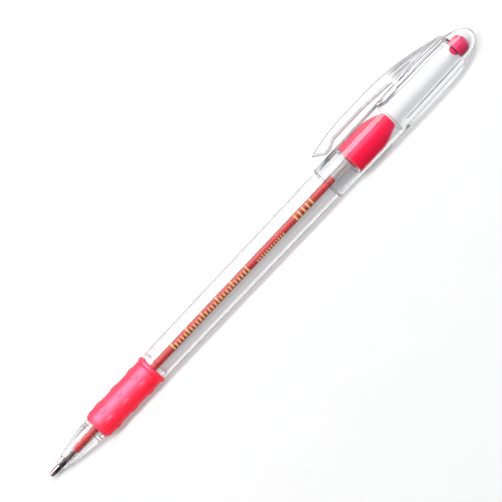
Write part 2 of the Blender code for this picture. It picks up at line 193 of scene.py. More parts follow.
def piece(name, mesh, finish):
    """A named object whose mesh is given along the pen, laid where the pen lies."""
    mesh.name = name
    mesh.transform(PEN)
    mesh.materials.clear()
    mesh.materials.append(finish)
    made = bpy.data.objects.new(name, mesh)
    bpy.context.scene.collection.objects.link(made)
    return made


def stands_for(made, node, body):
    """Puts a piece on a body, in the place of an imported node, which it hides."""
    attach(made, body)
    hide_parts(node)


# Materials
NOISE_LOW = 0.3
NOISE_HIGH = 0.7
WHITE = (1, 1, 1)
PINK_SHEEN = (1.0, 0.6, 1.0, 1)
# A painted red glow: the pink pieces emit it though they are no lamps, standing in for their fluorescent
# pigment and lifting their shaded sides
PAINTED_RED_GLOW = (1.0, 0.0, 0.02, 1)


class Nodes:
    """A node tree, with short ways to add to it."""

    def __init__(self, tree):
        self.tree = tree

    def node(self, kind, **settings):
        made = self.tree.nodes.new(kind)
        for key, value in settings.items():
            setattr(made, key, value)
        return made

    def link(self, source, target):
        self.tree.links.new(source, target)

    def math(self, operation, *terms):
        """What a sum gives, whose terms are outputs of nodes or numbers."""
        made = self.node("ShaderNodeMath", operation=operation)
        for term, socket in zip(terms, made.inputs):
            if isinstance(term, bpy.types.NodeSocket):
                self.link(term, socket)
            else:
                socket.default_value = term
        return made.outputs["Value"]

    def spread(self, source, start, end, low, high):
        """Stretches what runs from start to end, so that it runs from low to high."""
        made = self.node("ShaderNodeMapRange")
        for socket, value in zip(("From Min", "From Max", "To Min", "To Max"), (start, end, low, high)):
            made.inputs[socket].default_value = value
        self.link(source, made.inputs["Value"])
        return made.outputs["Result"]

    def looking(self, ray):
        """One for rays that look, straight, by a mirror or through glass, and zero for those that light."""
        outside = self.math("MAXIMUM", ray.outputs["Is Camera Ray"], ray.outputs["Is Glossy Ray"])
        return self.math("MAXIMUM", outside, ray.outputs["Is Transmission Ray"])


class Paint(Nodes):
    """A material whose Principled shader takes its values from noise along the pen."""

    def __init__(self, name, **values):
        self.made = bpy.data.materials.new(name)
        self.made.use_nodes = True
        super().__init__(self.made.node_tree)
        self.shader = self.tree.nodes["Principled BSDF"]
        for socket, value in values.items():
            self.shader.inputs[socket.replace("_", " ")].default_value = value

    def noise(self, scale, detail=3.0, stretch=(1, 1, 1)):
        """Noise that follows the piece, finer where scale is larger."""
        place = self.node("ShaderNodeTexCoord")
        mapping = self.node("ShaderNodeMapping")
        mapping.inputs["Scale"].default_value = stretch
        self.link(place.outputs["Object"], mapping.inputs["Vector"])
        made = self.node("ShaderNodeTexNoise")
        made.inputs["Scale"].default_value = scale
        made.inputs["Detail"].default_value = detail
        self.link(mapping.outputs["Vector"], made.inputs["Vector"])
        return made.outputs["Fac"]

    def blended(self, source, low, high, start=0.0, end=1.0):
        """The colour low where the source is at start, and high where it is at end."""
        made = self.node("ShaderNodeValToRGB")
        for element, place, colour in zip(made.color_ramp.elements, (start, end), (low, high)):
            element.position = place
            element.color = (*colour, 1)
        self.link(source, made.inputs["Fac"])
        return made.outputs["Color"]

    def clouded(self, noise, low, high):
        return self.blended(noise, low, high, NOISE_LOW, NOISE_HIGH)

    def tint(self, noise, low, high):
        """Clouds the base colour, from low to high."""
        self.link(self.clouded(noise, low, high), self.shader.inputs["Base Color"])

    def roughen(self, noise, low, high):
        """Clouds the roughness, from low to high."""
        self.link(self.spread(noise, NOISE_LOW, NOISE_HIGH, low, high), self.shader.inputs["Roughness"])

    def bump(self, noise, depth):
        made = self.node("ShaderNodeBump")
        made.inputs["Distance"].default_value = depth
        self.link(noise, made.inputs["Height"])
        self.link(made.outputs["Normal"], self.shader.inputs["Normal"])


def lets_lamps_through(paint, shade):
    """Lamps shine straight through the material, and lose light where a face isn't marked as passing it."""
    ray = paint.node("ShaderNodeLightPath")
    passing = paint.node("ShaderNodeAttribute", attribute_name=PASS)
    passed = paint.node("ShaderNodeBsdfTransparent")
    paint.link(paint.blended(passing.outputs["Fac"], shade, WHITE), passed.inputs["Color"])
    mixed = paint.node("ShaderNodeMixShader")
    paint.link(ray.outputs["Is Shadow Ray"], mixed.inputs["Fac"])
    paint.link(paint.shader.outputs["BSDF"], mixed.inputs[1])
    paint.link(passed.outputs["BSDF"], mixed.inputs[2])
    paint.link(mixed.outputs["Shader"], paint.tree.nodes["Material Output"].inputs["Surface"])


def clear_plastic(name, low, high, rim, shade):
    """Moulded clear plastic: nearly colourless, with faint flow lines along the pen, and painted shade that
    darkens its marked rims.
    """
    paint = Paint(name, IOR=1.55, Transmission_Weight=1.0)
    flow = paint.noise(900, detail=2.0, stretch=(0.02, 1, 1))
    # Painted shade: where a face is marked, the base colour turns from white towards the given dark colour
    at_painted_shade = paint.node("ShaderNodeAttribute", attribute_name=PAINTED_SHADE)
    tinted = paint.node("ShaderNodeMix", data_type="RGBA", blend_type="MULTIPLY")
    tinted.inputs["Factor"].default_value = 1.0
    paint.link(paint.clouded(flow, low, high), tinted.inputs["A"])
    paint.link(paint.blended(at_painted_shade.outputs["Fac"], WHITE, rim), tinted.inputs["B"])
    paint.link(tinted.outputs["Result"], paint.shader.inputs["Base Color"])
    paint.roughen(paint.noise(2500), 0.005, 0.015)
    lets_lamps_through(paint, shade)
    return paint.made


def seam_clear():
    """The hidden faces where the clip's arm meets its root, which light passes as if they were one."""
    paint = Paint("seam_clear", Alpha=0.0)
    paint.roughen(paint.noise(2500), 0.005, 0.015)
    return paint.made


def grip_rubber():
    """Translucent satin rubber with a fine grain, and a painted red glow for its fluorescent pigment, which
    lifts its shaded side.
    """
    paint = Paint("pink_rubber", Subsurface_Weight=1.0, Subsurface_Scale=1.0 * MM,
                  Subsurface_Radius=(1.0, 0.05, 0.12), IOR=1.7, Specular_IOR_Level=0.5,
                  Specular_Tint=PINK_SHEEN, Emission_Color=PAINTED_RED_GLOW, Emission_Strength=0.22)
    paint.tint(paint.noise(350), (0.985, 0.008, 0.03), (0.995, 0.014, 0.045))
    paint.roughen(paint.noise(1800), 0.5, 0.58)
    paint.bump(paint.noise(9000, detail=2.0), 0.01 * MM)
    return paint.made


def pink_plastic(name, low, high, painted_glow):
    """Glossy moulded plastic with faint flow lines, and a painted red glow for its fluorescent pigment,
    which lifts its shaded side.
    """
    paint = Paint(name, Subsurface_Weight=0.6, Subsurface_Scale=1.0 * MM,
                  Subsurface_Radius=(1.0, 0.05, 0.1), IOR=1.6, Specular_IOR_Level=0.5,
                  Specular_Tint=PINK_SHEEN, Emission_Color=PAINTED_RED_GLOW, Emission_Strength=painted_glow)
    flow = paint.noise(700, detail=2.0, stretch=(0.2, 1, 1))
    paint.tint(flow, low, high)
    paint.roughen(paint.noise(2000), 0.22, 0.28)
    paint.bump(flow, 0.002 * MM)
    return paint.made


def tube_plastic():
    """Thin-walled, slightly hazy refill tube."""
    paint = Paint("tube_plastic", Transmission_Weight=0.98, IOR=1.49, Coat_Weight=1.0, Coat_IOR=1.6,
                  Coat_Roughness=0.3)
    flow = paint.noise(1200, detail=2.0, stretch=(0.05, 1, 1))
    paint.tint(flow, (0.97, 0.88, 0.87), (0.99, 0.93, 0.92))
    paint.roughen(paint.noise(1500), 0.04, 0.08)
    paint.bump(flow, 0.002 * MM)
    lets_lamps_through(paint, (0.9, 0.82, 0.82))
    return paint.made


def red_ink():
    """Thick ink, thinner where it has drained along the wall."""
    paint = Paint("red_ink", IOR=1.45)
    paint.tint(paint.noise(260, stretch=(0.15, 1, 1)), (0.54, 0.002, 0.003), (0.62, 0.004, 0.005))
    paint.roughen(paint.noise(900), 0.15, 0.3)
    return paint.made


def turned_metal(name, low, high, smoothest):
    """Metal with the fine rings that a lathe leaves."""
    paint = Paint(name, Metallic=1.0)
    rings = paint.noise(6000, detail=2.0, stretch=(1, 0.02, 0.02))
    paint.tint(rings, low, high)
    paint.roughen(rings, smoothest, smoothest + 0.12)
    paint.bump(rings, 0.004 * MM)
    return paint.made


def gold_foil():
    """Hot-stamped foil, a little worn."""
    paint = Paint("gold_foil", Metallic=0.6)
    paint.tint(paint.noise(2500), (0.86, 0.56, 0.20), (0.95, 0.70, 0.32))
    paint.roughen(paint.noise(4000), 0.25, 0.45)
    return paint.made


# The third colour of each clear plastic is painted shade: a grey line for the barrel, near black for the
# cap's mouth and the clip's edges
clear_body = clear_plastic("clear_plastic", (0.985, 0.975, 0.98), (0.998, 0.993, 0.996),
                           rim=(0.45, 0.43, 0.44), shade=(0.50, 0.475, 0.48))
clear_cap = clear_plastic("clear_cap_plastic", (0.970, 0.978, 0.988), (0.985, 0.992, 0.998),
                          rim=(0.13, 0.105, 0.12), shade=(0.55, 0.555, 0.57))
rubber = grip_rubber()
pink = pink_plastic("pink_plastic", (0.95, 0.001, 0.05), (0.98, 0.003, 0.07), painted_glow=0.16)
insert_pink = pink_plastic("insert_plastic", (0.66, 0.008, 0.085), (0.74, 0.016, 0.12), painted_glow=0.03)
milky = tube_plastic()
ink = red_ink()
seam = seam_clear()
point_metal = turned_metal("point_metal", (0.30, 0.23, 0.25), (0.42, 0.34, 0.36), smoothest=0.12)
ball_metal = turned_metal("ball_metal", (0.40, 0.40, 0.41), (0.52, 0.52, 0.53), smoothest=0.1)

# Writing point
BALL_RADIUS = (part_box("writing_ball")[1].x - tip_x) / 2
POINT_RADIUS = 0.9 * MM
POINT_CONE_END = 1.8 * MM
LIP_RADIUS = 0.62 * MM
SHANK_RADIUS = 0.75 * MM
CHANNEL_RADIUS = 0.25 * MM
GROOVE_FRONT = POINT_CONE_END + 0.5 * MM
GROOVE_DEPTH = 0.06 * MM
LIP_ROUND = 0.04 * MM
CONE_ROUND = 0.15 * MM
SOCKET_RADIUS = 1.08 * BALL_RADIUS
SOCKET_FLOOR = math.radians(153)
SOCKET_MOUTH = math.radians(68)


def writing_ball():
    turns = steps(0, math.pi, CURVE_STEPS)
    middle = [(BALL_RADIUS * (1 - math.cos(turn)), BALL_RADIUS * math.sin(turn)) for turn in turns[1:-1]]
    return turned([(0, 0)] + middle + [(2 * BALL_RADIUS, 0)], SMALL_SIDES)


def point_body():
    """Cone, bare cylinder with a turned groove, shank in the tube, and the ball's socket."""
    shoulder = TUBE_FRONT - JOINT_GAP
    cup = [(BALL_RADIUS - SOCKET_RADIUS * math.cos(turn), SOCKET_RADIUS * math.sin(turn), 0)
           for turn in steps(SOCKET_FLOOR, SOCKET_MOUTH, ARC_STEPS)]
    return turned(rounded([
        *cup,
        (POINT_FRONT, LIP_RADIUS, LIP_ROUND),
        (POINT_CONE_END, POINT_RADIUS, CONE_ROUND),
        (GROOVE_FRONT, POINT_RADIUS, 0),
        (GROOVE_FRONT + GROOVE_DEPTH, POINT_RADIUS - GROOVE_DEPTH, 0),
        (GROOVE_FRONT + 3 * GROOVE_DEPTH, POINT_RADIUS - GROOVE_DEPTH, 0),
        (GROOVE_FRONT + 4 * GROOVE_DEPTH, POINT_RADIUS, 0),
        (shoulder, POINT_RADIUS, FINE_ROUND),
        (shoulder, SHANK_RADIUS, 0),
        (POINT_REAR, SHANK_RADIUS, EDGE_ROUND),
        (POINT_REAR, CHANNEL_RADIUS, 0),
    ]), SMALL_SIDES)


# Refill
TUBE_RADIUS = 1.175 * MM
TUBE_BORE = 0.8 * MM
INK_FILM = 0.01 * MM
MENISCUS = 0.5 * MM


def refill_tube():
    return turned(rounded([
        (TUBE_FRONT, TUBE_BORE, FINE_ROUND),
        (TUBE_FRONT, TUBE_RADIUS, EDGE_ROUND),
        (TUBE_REAR, TUBE_RADIUS, EDGE_ROUND),
        (TUBE_REAR, TUBE_BORE, FINE_ROUND),
    ]), SMALL_SIDES)


def ink_column():
    """Wets the bore, with a hollow surface at its rear."""
    radius = TUBE_BORE + INK_FILM
    middle = INK_REAR - MENISCUS
    hollow = [(INK_REAR - MENISCUS * math.cos(turn), radius * math.sin(turn))
              for turn in steps(math.pi / 2, 0, ARC_STEPS)]
    return turned([(INK_FRONT, 0), (INK_FRONT, radius), *hollow[:-1], (middle, 0)], SMALL_SIDES)


# Nose cone
NOSE_RIM = 1.5 * MM
NOSE_LIP = 1.7 * MM
NOSE_STEP = 2.0 * MM
NOSE_CONE = 3.4 * MM
NOSE_NECK = 3.25 * MM
NOSE_LIP_END = NOSE_FRONT + 2.0 * MM
NOSE_CONE_FRONT = NOSE_FRONT + 2.7 * MM
NOSE_CONE_REAR = NOSE_CONE_FRONT + 9.0 * MM
NOSE_SHOULDER = BARREL_FRONT - JOINT_GAP
NOSE_ROUND = 0.2 * MM
NOSE_STEP_ROUND = 0.15 * MM
NECK_BORE = 2.4 * MM
REFILL_GAP = 0.15 * MM


def nose_cone():
    """Lip, step and cone round the point, then a neck and the plug that the barrel holds."""
    hole = POINT_RADIUS + REFILL_GAP
    bore = TUBE_RADIUS + REFILL_GAP
    plug = NECK_BORE - PRESS_GAP
    seat = TUBE_FRONT - JOINT_GAP
    return turned(rounded([
        (NOSE_FRONT, hole, FINE_ROUND),
        (NOSE_FRONT, NOSE_RIM, NOSE_ROUND),
        (NOSE_LIP_END, NOSE_LIP, EDGE_ROUND),
        (NOSE_CONE_FRONT, NOSE_STEP, NOSE_STEP_ROUND),
        (NOSE_CONE_REAR, NOSE_CONE, NOSE_ROUND),
        (NOSE_CONE_REAR + NOSE_ROUND, NOSE_NECK, FINE_ROUND),
        (NOSE_SHOULDER, NOSE_NECK, NOSE_ROUND),
        (NOSE_SHOULDER, plug, 0),
        (NOSE_REAR, plug, NOSE_ROUND),
        (NOSE_REAR, bore, EDGE_ROUND),
        (seat, bore, 0),
        (seat, hole, 0),
    ]))


# Barrel
FLANGE_RADIUS = 3.5 * MM
FLANGE_REAR = GRIP_FRONT - JOINT_GAP
NECK_RADIUS = 3.2 * MM
SHOULDER_RADIUS = 3.8 * MM
SHOULDER_FRONT = GRIP_REAR + JOINT_GAP
BODY_FRONT = SHOULDER_FRONT + 1.1 * MM
BODY_REAR = PLUG_FRONT - JOINT_GAP
BODY_FRONT_RADIUS = 4.19 * MM
BODY_REAR_RADIUS = 4.58 * MM
BARREL_WALL = 0.5 * MM
FRONT_WALL = 0.3 * MM
REAR_WALL = 0.8 * MM
SPIGOT_BORE = 3.1 * MM
SPIGOT_RADIUS = 3.6 * MM
SHOULDER_ROUND = 0.3 * MM

# A fine mould line along each side of the barrel, ahead of the cap, with painted shade, a grey line, along
# its crest
MOULD_LINE = 0.1 * MM
MOULD_LINE_INSET = 1.0 * MM
MOULD_LINE_FADE = 1.0 * MM


def body_radius(x):
    """Outer radius of the barrel's tapered body."""
    share = (x - BODY_FRONT) / (BODY_REAR - BODY_FRONT)
    return BODY_FRONT_RADIUS + (BODY_REAR_RADIUS - BODY_FRONT_RADIUS) * share


def barrel():
    """Flange, neck, shoulder, tapered body and spigot round one bore, with the mould line raised and its
    crest marked for painted shade.
    """
    line_front, line_rear = BODY_FRONT + MOULD_LINE_INSET, CAP_MOUTH - MOULD_LINE_INSET
    raised = (line_front + MOULD_LINE_FADE, line_rear - MOULD_LINE_FADE)
    mesh = turned(rounded([
        (BARREL_FRONT, NECK_BORE, EDGE_ROUND),
        (BARREL_FRONT, FLANGE_RADIUS, 2 * EDGE_ROUND),
        (FLANGE_REAR, FLANGE_RADIUS, EDGE_ROUND),
        (FLANGE_REAR, NECK_RADIUS, 0),
        (SHOULDER_FRONT, NECK_RADIUS, 0),
        (SHOULDER_FRONT, SHOULDER_RADIUS, EDGE_ROUND),
        (BODY_FRONT, BODY_FRONT_RADIUS, SHOULDER_ROUND),
        *((x, body_radius(x), 0) for x in (line_front, *raised, line_rear)),
        (BODY_REAR, BODY_REAR_RADIUS, EDGE_ROUND),
        (BODY_REAR, SPIGOT_RADIUS, 0),
        (BARREL_REAR, SPIGOT_RADIUS, 2 * EDGE_ROUND),
        (BARREL_REAR, SPIGOT_BORE, EDGE_ROUND),
        (BODY_REAR - REAR_WALL, SPIGOT_BORE, EDGE_ROUND),
        (BODY_REAR - REAR_WALL, BODY_REAR_RADIUS - BARREL_WALL, EDGE_ROUND),
        (BODY_FRONT + FRONT_WALL, BODY_FRONT_RADIUS - BARREL_WALL, EDGE_ROUND),
        (BODY_FRONT + FRONT_WALL, NECK_BORE, EDGE_ROUND),
    ]))
    # The mould line's crest gets painted shade, a thin grey line along each side
    marks = mesh.attributes.new(PAINTED_SHADE, "FLOAT", "POINT")
    for vertex, mark in zip(mesh.vertices, marks.data):
        x, y, z = vertex.co
        if abs(z) < MOULD_LINE / 2 and min(abs(x - end) for end in raised) < MOULD_LINE / 2:
            mark.value = 1
            vertex.co.y += math.copysign(MOULD_LINE, y)
    return mesh


# Foil marks: three groups of plain ticks along the side of the barrel that faces the viewer
FOIL_GAP = 0.004 * MM
FOIL_THICKNESS = 0.02 * MM
FOIL_STEPS = 4
TICK_GROUPS = (
    # start, pitch, count, width, low end, short end, tall end, one in this many is tall
    (47.8 * MM, 1.15 * MM, 26, 0.5 * MM, -0.9 * MM, 0.3 * MM, 1.0 * MM, 5),
    (80.2 * MM, 0.9 * MM, 12, 0.35 * MM, -1.0 * MM, -0.3 * MM, -0.3 * MM, 4),
    (95.4 * MM, 1.5 * MM, 5, 0.55 * MM, -0.9 * MM, 0.8 * MM, 0.8 * MM, 1),
)


def foil_marks():
    """Thin bent plates, just off the barrel's surface."""
    work = bmesh.new()
    for start, pitch, count, width, low, short, tall, every in TICK_GROUPS:
        for index in range(count):
            x = start + pitch * index
            inner = body_radius(x) + FOIL_GAP
            outer = inner + FOIL_THICKNESS
            outline = ((x, inner), (x + width, inner), (x + width, outer), (x, outer))
            high = short if index % every else tall
            rings = []
            for y in steps(low, high, FOIL_STEPS):
                turn = math.asin(y / inner)
                rings.append([work.verts.new((along, radius * math.sin(turn), radius * math.cos(turn)))
                              for along, radius in outline])
            for ring, after in zip(rings, rings[1:]):
                for corner in range(len(outline)):
                    follow = (corner + 1) % len(outline)
                    work.faces.new((ring[corner], ring[follow], after[follow], after[corner]))
            work.faces.new(rings[0])
            work.faces.new(rings[-1])
    return finished(work)


# Grip sleeve
GRIP_FRONT_RADIUS = 3.65 * MM
GRIP_RADIUS = 4.2 * MM
GRIP_LEAD = 1.3 * MM
GRIP_ROUND = 0.4 * MM
GRIP_WAIST = 0.1 * MM
GRIP_GROOVE = 0.2 * MM
GRIP_GROOVE_LENGTH = 0.4 * MM
BEAD_RADIUS = 4.55 * MM
BEAD_LENGTH = 1.5 * MM
BUMP_RADIUS = 1.25 * MM
BUMP_FOOT = 1.15 * BUMP_RADIUS
BUMP_HEIGHT = 0.22 * MM
BUMP_FLATNESS = 3
BUMP_SOFTNESS = 1.3
BUMP_PITCH = 6.25 * MM
FIRST_BUMP = 4.6 * MM
BUMPS_IN_ROW = 3
BUMP_ROWS = 6
BUMP_ROW_ANGLE = math.radians(36)
GRIP_SIDES = 288
BUMP_STEPS = 28


def grip_sleeve():
    """A slightly waisted sleeve with a groove and a bead at its rear, and rows of raised bumps."""
    inner = NECK_RADIUS + PRESS_GAP
    bead_front = GRIP_REAR - BEAD_LENGTH
    groove = GRIP_RADIUS - GRIP_GROOVE
    rows = [GRIP_FRONT + FIRST_BUMP + BUMP_PITCH * index for index in range(BUMPS_IN_ROW)]
    waist_middle = (rows[0] + rows[-1]) / 2
    waist_half = waist_middle - GRIP_FRONT - GRIP_LEAD

    def side(x):
        return GRIP_RADIUS - GRIP_WAIST * max(0, 1 - ((x - waist_middle) / waist_half) ** 2)

    front = rounded([
        (GRIP_FRONT, inner, 0),
        (GRIP_FRONT, GRIP_FRONT_RADIUS, GRIP_ROUND),
        (GRIP_FRONT + GRIP_LEAD, GRIP_RADIUS, GRIP_ROUND),
        (rows[0] - BUMP_FOOT, side(rows[0] - BUMP_FOOT), 0),
    ])
    middle = [(x, side(x)) for row in rows for x in steps(row - BUMP_FOOT, row + BUMP_FOOT, BUMP_STEPS)]
    bead = [(bead_front + BEAD_LENGTH * (1 - math.cos(turn)) / 2,
             groove + (BEAD_RADIUS - groove) * math.sin(turn))
            for turn in steps(0, math.pi, CURVE_STEPS)]
    rear = [(bead_front - GRIP_GROOVE_LENGTH, GRIP_RADIUS), *bead, (GRIP_REAR, inner)]
    mesh = turned(front[:-1] + middle + rear, GRIP_SIDES)
    row_step = math.tau / BUMP_ROWS
    for vertex in mesh.vertices:
        x, y, z = vertex.co
        radius = math.hypot(y, z)
        if radius < side(x) - PRESS_GAP:
            continue
        off_row = (math.atan2(y, z) - BUMP_ROW_ANGLE + row_step / 2) % row_step - row_step / 2
        off_bump = min(math.hypot(x - row, off_row * radius) for row in rows) / BUMP_FOOT
        rise = max(0, 1 - off_bump ** BUMP_FLATNESS) ** BUMP_SOFTNESS
        lift = 1 + BUMP_HEIGHT * rise / radius
        vertex.co = (x, y * lift, z * lift)
    return mesh


# End plug
PLUG_TIP = 2.4 * MM
PLUG_STRAIGHT = 8.1 * MM
PLUG_CURVE = 1.6
PLUG_ROUND = 0.3 * MM
PLUG_FLOOR = 0.3 * MM


def end_plug():
    """A bullet with a socket for the barrel's spigot."""
    socket = SPIGOT_RADIUS + PRESS_GAP
    floor = BARREL_REAR + PLUG_FLOOR
    curve_front = PLUG_FRONT + PLUG_STRAIGHT
    curve = [(curve_front + (PLUG_REAR - curve_front) * t,
              BODY_REAR_RADIUS - (BODY_REAR_RADIUS - PLUG_TIP) * t ** PLUG_CURVE, 0)
             for t in steps(0, 1, CURVE_STEPS)]
    return turned(rounded([
        (floor, 0, 0),
        (floor, socket, EDGE_ROUND),
        (PLUG_FRONT, socket, 0),
        (PLUG_FRONT, BODY_REAR_RADIUS, EDGE_ROUND),
        *curve[:-1],
        (*curve[-1][:2], PLUG_ROUND),
        (PLUG_REAR, 0, 0),
    ]))


# Cap
CAP_MOUTH_RADIUS = 5.1 * MM
CAP_STOP_RADIUS = 5.48 * MM
CAP_RADIUS = 5.55 * MM
CAP_STOP = PLUG_REAR + 0.3 * MM
CAP_BULGE_END = CAP_STOP + 7.5 * MM
CAP_END_LENGTH = 16.7 * MM
CAP_END_FULLNESS = 2.2
CAP_END_POWER = 0.45
CAP_BORE = BODY_REAR_RADIUS + 0.08 * MM
LEDGE_WIDTH = 0.7 * MM
DOME_LENGTH = 3.6 * MM
UPPER_BORE_FRONT = 3.4 * MM
UPPER_BORE_REAR = 3.05 * MM
CAP_PLUG_RADIUS = 2.7 * MM
CAP_PLUG_DOME = 2.0 * MM
CAP_PLUG_LEAD = 0.3 * MM
CAP_NUB_RADIUS = 1.7 * MM
CAP_NUB_LENGTH = 1.4 * MM
CAP_PLUG_BODY = CAP_PLUG_FRONT + CAP_NUB_LENGTH
CAP_TIP_WALL = 1.1 * MM
CAP_PLUG_ROUND = 0.2 * MM
MOUTH_ROUND = 0.2 * MM
# How far in from the cap's mouth the painted shade, a dark ring, reaches
MOUTH_PAINTED_SHADE = 0.9 * MOUTH_ROUND
MOUTH_LAND = 1.0 * MM
RING_STEP = 0.6 * MM


def cap_radius(x):
    """Outer radius of the cap: two straight tapers, a straight stretch and a round end."""
    if x <= CAP_STOP:
        share = (x - CAP_MOUTH) / (CAP_STOP - CAP_MOUTH)
        return CAP_MOUTH_RADIUS + (CAP_STOP_RADIUS - CAP_MOUTH_RADIUS) * share
    if x <= CAP_BULGE_END:
        share = (x - CAP_STOP) / (CAP_BULGE_END - CAP_STOP)
        return CAP_STOP_RADIUS + (CAP_RADIUS - CAP_STOP_RADIUS) * share
    share = max(0, x - CAP_REAR + CAP_END_LENGTH) / CAP_END_LENGTH
    return CAP_RADIUS * max(0, 1 - share ** CAP_END_FULLNESS) ** CAP_END_POWER


def cap_tube():
    """The cap without its clip: mouth, ledge, narrower upper bore and the insert's pocket."""
    ledge = CAP_BORE - LEDGE_WIDTH
    pocket = CAP_PLUG_RADIUS + PRESS_GAP
    dome_top = CAP_REAR - CAP_TIP_WALL
    dome_front = CAP_PLUG_REAR - CAP_PLUG_DOME
    end_front = CAP_REAR - CAP_END_LENGTH
    side_front = CAP_MOUTH + MOUTH_LAND
    quarter = steps(0, math.pi / 2, CURVE_STEPS)
    dome = [(CAP_STOP + DOME_LENGTH * t,
             UPPER_BORE_FRONT + (ledge - UPPER_BORE_FRONT) * (1 + math.cos(math.pi * t)) / 2, 0)
            for t in steps(0, 1, CURVE_STEPS)]
    blind = [(dome_front + (dome_top - dome_front) * math.sin(turn), pocket * math.cos(turn), 0)
             for turn in quarter]
    end_line = [CAP_REAR - CAP_END_LENGTH * (1 - math.sin(turn)) for turn in quarter]
    side_line = steps(side_front, end_front, round((end_front - side_front) / RING_STEP))
    round_end, side = ([(x, cap_radius(x), 0) for x in line] for line in (end_line, side_line))
    return turned(rounded([
        (CAP_REAR, 0, 0),
        *reversed(round_end[1:-1]),
        *reversed(side),
        (CAP_MOUTH, CAP_MOUTH_RADIUS, MOUTH_ROUND),
        (CAP_MOUTH, CAP_BORE, MOUTH_ROUND),
        (CAP_STOP, CAP_BORE, EDGE_ROUND),
        *dome,
        (CAP_PLUG_BODY - CAP_PLUG_LEAD, UPPER_BORE_REAR, 0),
        (CAP_PLUG_BODY, pocket, 0),
        *blind[:-1],
        (dome_top, 0, 0),
    ]))


def cap_end_plug():
    """The insert: a round nub, a short cylinder and a dome."""
    quarter = steps(0, math.pi / 2, CURVE_STEPS)
    dome = [(CAP_PLUG_REAR - CAP_PLUG_DOME * (1 - math.sin(turn)), CAP_PLUG_RADIUS * math.cos(turn), 0)
            for turn in quarter]
    nub = [(CAP_PLUG_BODY - CAP_NUB_LENGTH * math.cos(turn), CAP_NUB_RADIUS * math.sin(turn), 0)
           for turn in quarter]
    return turned(rounded([
        (CAP_PLUG_FRONT, 0, 0),
        *nub[1:],
        (CAP_PLUG_BODY, CAP_PLUG_RADIUS, CAP_PLUG_ROUND),
        *dome[1:-1],
        (CAP_PLUG_REAR, 0, 0),
    ]), SMALL_SIDES)


# Pocket clip
CLIP_HALF_WIDTH = 2.0 * MM
CLIP_HEIGHT = 9.75 * MM
CLIP_UNDER = 6.7 * MM
CLIP_EDGE = 0.5 * MM
CLIP_LOW_EDGE = 0.6 * MM
FULLEST_EDGE = 0.98
CLIP_PAD_FRONT = CAP_MOUTH + 5.4 * MM
CLIP_PAD_REAR = CLIP_PAD_FRONT + 1.8 * MM
CLIP_RAMP_END = CLIP_PAD_REAR + 2.7 * MM
CLIP_LAND = CAP_MOUTH + 16.1 * MM
CLIP_LAND_REAR = CLIP_LAND + 7.5 * MM
CLIP_FRONT_RADIUS = 58 * MM
CLIP_REAR_RADIUS = 77.7 * MM
CLIP_DIP_START = CAP_MOUTH + 21.1 * MM
CLIP_DIP = 0.75 * MM
CLIP_PAD = cap_radius(CLIP_PAD_REAR) + 0.3 * MM
BEAK_HEIGHT = 0.35 * MM
ROOT_REAR = HINGE + 18.6 * MM
ROOT_ROUND = 3.0 * MM
ROOT_DEPTH = 4.0 * MM
ROOT_FLARE = 2.2 * MM
FLARE_LENGTH = 7.0 * MM
FLARE_POWER = 3
SIDE_STEPS = 10
CLIP_SEAM = 0.02 * MM
# Painted shade on the clip: a dark beak, a darkening low on its arm and grey streaks down its root
BEAK_PAINTED_SHADE = 0.8 * MM
LOW_PAINTED_SHADE_HEIGHT = 1.3 * MM
LOW_PAINTED_SHADE_FADE = 2.0 * MM
ROOT_SHADE_STREAKS = (0.7, 0.2, 0.42, 0.7, 0.22, 0.15, 0.6, 0.2, 0.42)
SHADE_STREAK_LENGTH = 3.0 * MM
CLIP_STEP = 0.4 * MM
SLOT_END = 0.06 * MM


def clip_top(x):
    """Height of the clip's outer line: an arc, a flat land, a longer arc and the round heel."""
    crown = ROOT_REAR - ROOT_ROUND
    radius = CLIP_FRONT_RADIUS if x < CLIP_LAND else CLIP_REAR_RADIUS
    off_land = max(CLIP_LAND - min(x, crown), 0, min(x, crown) - CLIP_LAND_REAR)
    height = CLIP_HEIGHT - radius + math.sqrt(radius ** 2 - off_land ** 2)
    heel = min(1, max(0, x - crown) / ROOT_ROUND)
    return ROOT_DEPTH + (height - ROOT_DEPTH) * math.sqrt(1 - heel ** 2)


def clip_under(x):
    """Height of the clip's inner line: the beak's slant, the pad, a ramp, a straight and a dip."""
    corners = [
        (CLIP_TIP, clip_top(CLIP_TIP) - BEAK_HEIGHT),
        (CLIP_PAD_FRONT, CLIP_PAD),
        (CLIP_PAD_REAR, CLIP_PAD),
        (CLIP_RAMP_END, CLIP_UNDER),
        (CLIP_DIP_START, CLIP_UNDER),
        (HINGE, CLIP_UNDER - CLIP_DIP),
    ]
    for (x0, y0), (x1, y1) in zip(corners, corners[1:]):
        if x <= x1:
            return y0 + (y1 - y0) * (x - x0) / (x1 - x0)
    return ROOT_DEPTH


def clip_section(x, low, high, flare=0.0):
    """A ring across the clip: rounded on top and below, with sides that may spread towards the cap."""
    half = (high - low) / 2
    top, under = (min(edge, half * FULLEST_EDGE) for edge in (CLIP_EDGE, CLIP_LOW_EDGE))
    spread = CLIP_HALF_WIDTH + flare
    side = [(low + under + (high - top - low - under) * (1 - t),
             CLIP_HALF_WIDTH + flare * t ** FLARE_POWER)
            for t in steps(0, 1, SIDE_STEPS)[1:-1]]

    def arc(y, z, radius, start):
        turns = steps(math.radians(start), math.radians(start + 90), ARC_STEPS)
        return [(x, y + radius * math.sin(turn), z + radius * math.cos(turn)) for turn in turns]

    return [
        *arc(high - top, CLIP_HALF_WIDTH - top, top, 0),
        *arc(high - top, top - CLIP_HALF_WIDTH, top, 90),
        *((x, y, -z) for y, z in side),
        *arc(low + under, under - spread, under, 180),
        *arc(low + under, spread - under, under, 270),
        *((x, y, z) for y, z in reversed(side)),
    ]


